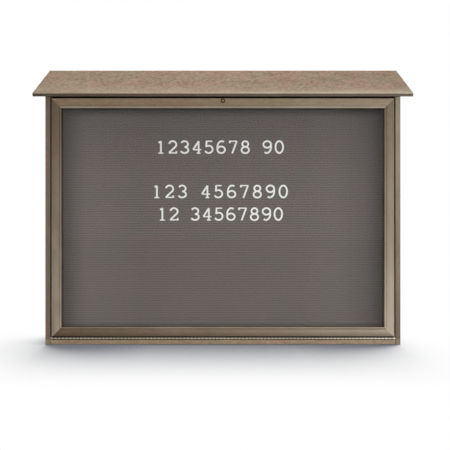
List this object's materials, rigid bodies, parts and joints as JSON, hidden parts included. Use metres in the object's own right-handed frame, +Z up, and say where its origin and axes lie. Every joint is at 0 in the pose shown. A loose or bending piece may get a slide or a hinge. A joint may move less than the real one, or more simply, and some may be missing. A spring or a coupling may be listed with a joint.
{
  "type": "lockable notice board",
  "caption": "Outdoor notice board: shallow case under a sloping roof, bottom-hinged glazed door with a cam lock, grooved letter board inside",
  "frame": {"origin": "middle of the footprint of the whole part, on the plane that the case stands on", "axes": "+X to the right as seen from the front, +Y from the door to the wall, +Z up"},
  "size_m": [1.321, 0.2, 1.0066],
  "materials": {
    "case_board": "matt, faintly streaked recycled plastic board",
    "roof_board": "matt, sun-faded recycled plastic board",
    "door_frame": "satin moulded section",
    "back_panel": "matt sheet",
    "retainer": "matt strip",
    "letter_felt": "short-pile grey felt, grooved",
    "letter_ledge": "matt strip",
    "window_pane": "clear, polished",
    "glazing_tape": "matt foam tape",
    "foam_seal": "matt closed-cell foam",
    "hinge": "stainless, satin",
    "lock": "dull chrome",
    "digits": "moulded white, satin",
    "steel": "stainless, satin"
  },
  "bodies": {
    "case": {"side_panel_left": "case_board", "side_panel_right": "case_board", "bottom_board": "case_board", "roof_board": "roof_board", "hanging_rail_lower": "case_board", "hanging_rail_upper": "case_board", "back_panel": "back_panel", "roof_cleat_left": "case_board", "roof_cleat_right": "case_board", "door_stop_left": "case_board", "door_stop_right": "case_board", "sill_strip": "case_board", "header_rail": "case_board", "seal_right": "foam_seal", "seal_left": "foam_seal", "seal_bottom": "foam_seal", "seal_top_right": "foam_seal", "seal_top_left": "foam_seal", "letter_board": "letter_felt", "letter_ledge_lower": "letter_ledge", "letter_ledge_upper": "letter_ledge", "hinge_leaf_case": "hinge", "hinge_pin": "hinge", "lock_keeper": "steel", "hinge_screws_case": "steel", "keeper_screws": "steel", "side_screws": "steel", "back_screws": "steel", "roof_screws": "steel"},
    "door": {"stile_left": "door_frame", "stile_right": "door_frame", "rail_top": "door_frame", "rail_bottom": "door_frame", "window_pane": "window_pane", "glazing_tape": "glazing_tape", "retainer_right": "retainer", "retainer_left": "retainer", "retainer_top": "retainer", "retainer_bottom": "retainer", "retainer_screws": "steel", "corner_bracket_top_left": "steel", "corner_bracket_top_right": "steel", "corner_bracket_bottom_left": "steel", "corner_bracket_bottom_right": "steel", "bracket_screws": "steel", "hinge_leaf_door": "hinge", "hinge_screws_door": "steel", "lock_body": "lock", "lock_nut": "steel"},
    "lock_barrel": {"lock_plug": "lock", "lock_cam": "steel", "cam_screw": "steel"}
  },
  "joints": [
    {"name": "door_swing", "type": "hinge", "parent": "case", "child": "door", "pos_m": [0, -0.092, 0.02293], "axis": [1, 0, 0], "range_deg": [0, 90]},
    {"name": "lock_turn", "type": "hinge", "parent": "door", "child": "lock_barrel", "pos_m": [0, -0.0975, 0.84886], "axis": [0, -1, 0], "range_deg": [0, 90]}
  ]
}
